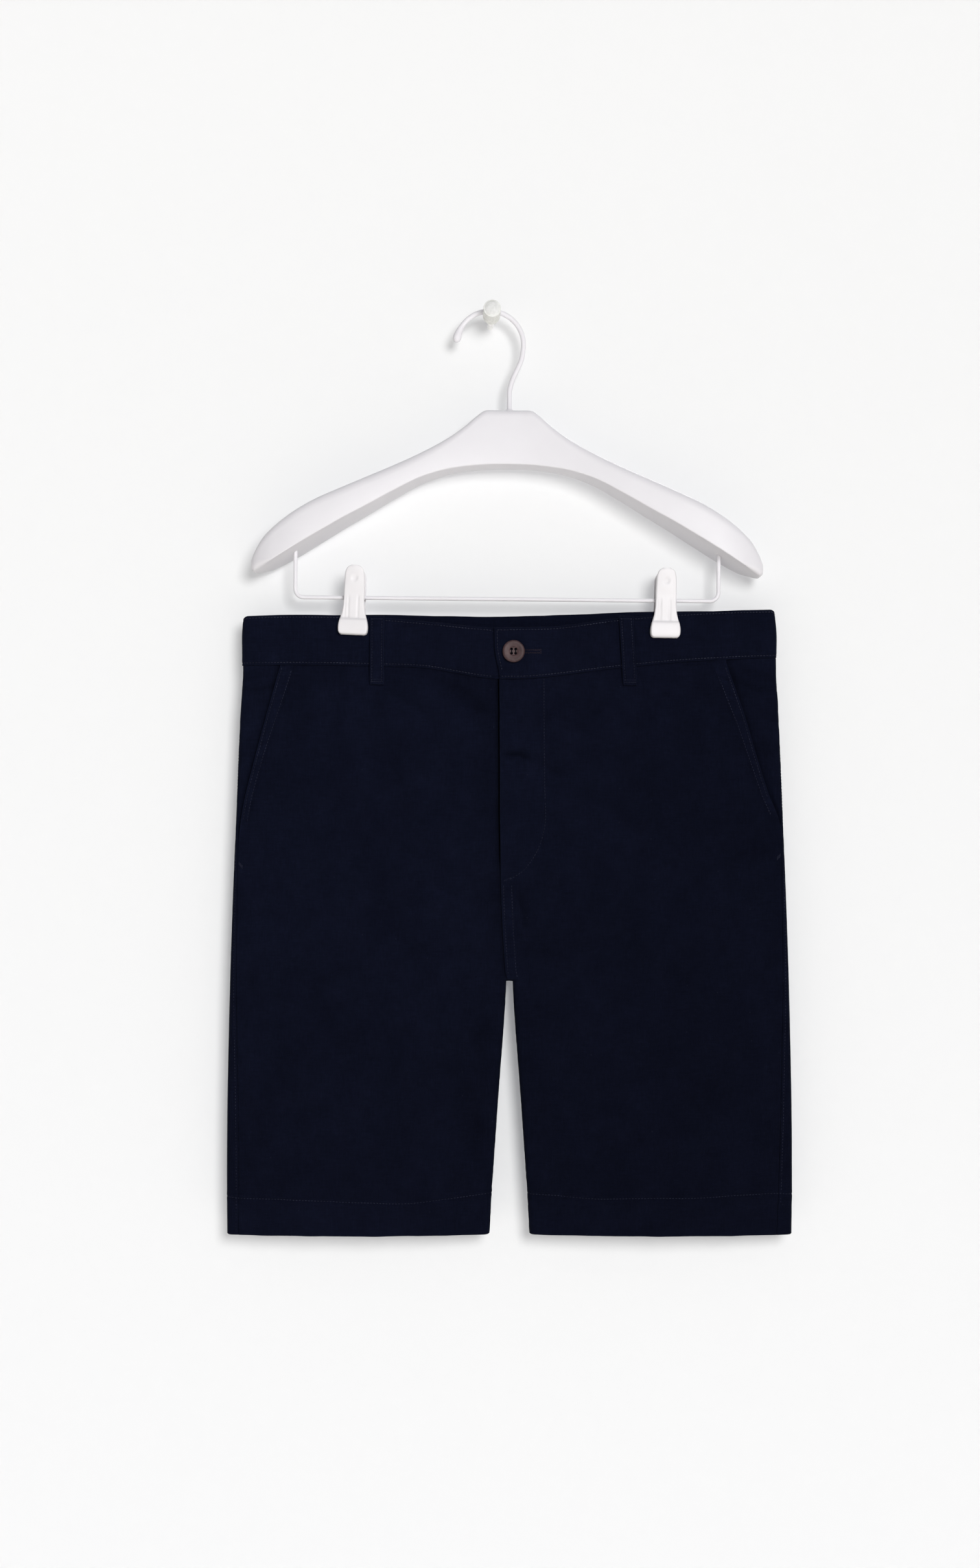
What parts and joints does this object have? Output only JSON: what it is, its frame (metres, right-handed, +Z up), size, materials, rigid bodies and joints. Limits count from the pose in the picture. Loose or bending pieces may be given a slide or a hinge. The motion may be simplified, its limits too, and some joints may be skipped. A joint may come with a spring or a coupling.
{
  "type": "bermuda shorts on a clip hanger",
  "caption": "Dark bermuda shorts with slanted pockets and a buttoned waistband, hung by the waistband from a white clip hanger on a wall peg.",
  "frame": {"origin": "centre of the wall peg's flat back face, where it meets the wall", "axes": "+Z up, +X to the right of someone facing the wall (the wearer's left), +Y into the wall, so the shorts stand out along -Y"},
  "size_m": [0.4658, 0.0438, 0.7649],
  "materials": {
    "cotton": "matt navy cotton twill, tonal stitching",
    "zip": "woven tape",
    "button": "dark brown, satin",
    "hanger_plastic": "white, satin",
    "coated_wire": "white coated",
    "clip_plastic": "white, satin",
    "spring_steel": "bright",
    "peg": "white, chalky, finely pitted"
  },
  "bodies": {
    "root": {"front_left": "cotton", "front_right": "cotton", "back_left": "cotton", "back_right": "cotton", "pocket_facing_left": "cotton", "pocket_facing_right": "cotton", "waistband_left": "cotton", "waistband_right": "cotton", "fly_underlap": "cotton", "belt_loop_front_left": "cotton", "belt_loop_front_right": "cotton", "belt_loop_back_left": "cotton", "belt_loop_back_centre": "cotton", "belt_loop_back_right": "cotton", "zip_tape": "zip", "button": "button", "hanger_body": "hanger_plastic", "hanger_hook": "coated_wire", "hanger_bar": "coated_wire", "clip_left_front": "clip_plastic", "clip_left_back": "clip_plastic", "clip_right_front": "clip_plastic", "clip_right_back": "clip_plastic", "clip_left_spring": "spring_steel", "clip_right_spring": "spring_steel", "wall_peg": "peg"}
  },
  "joints": []
}
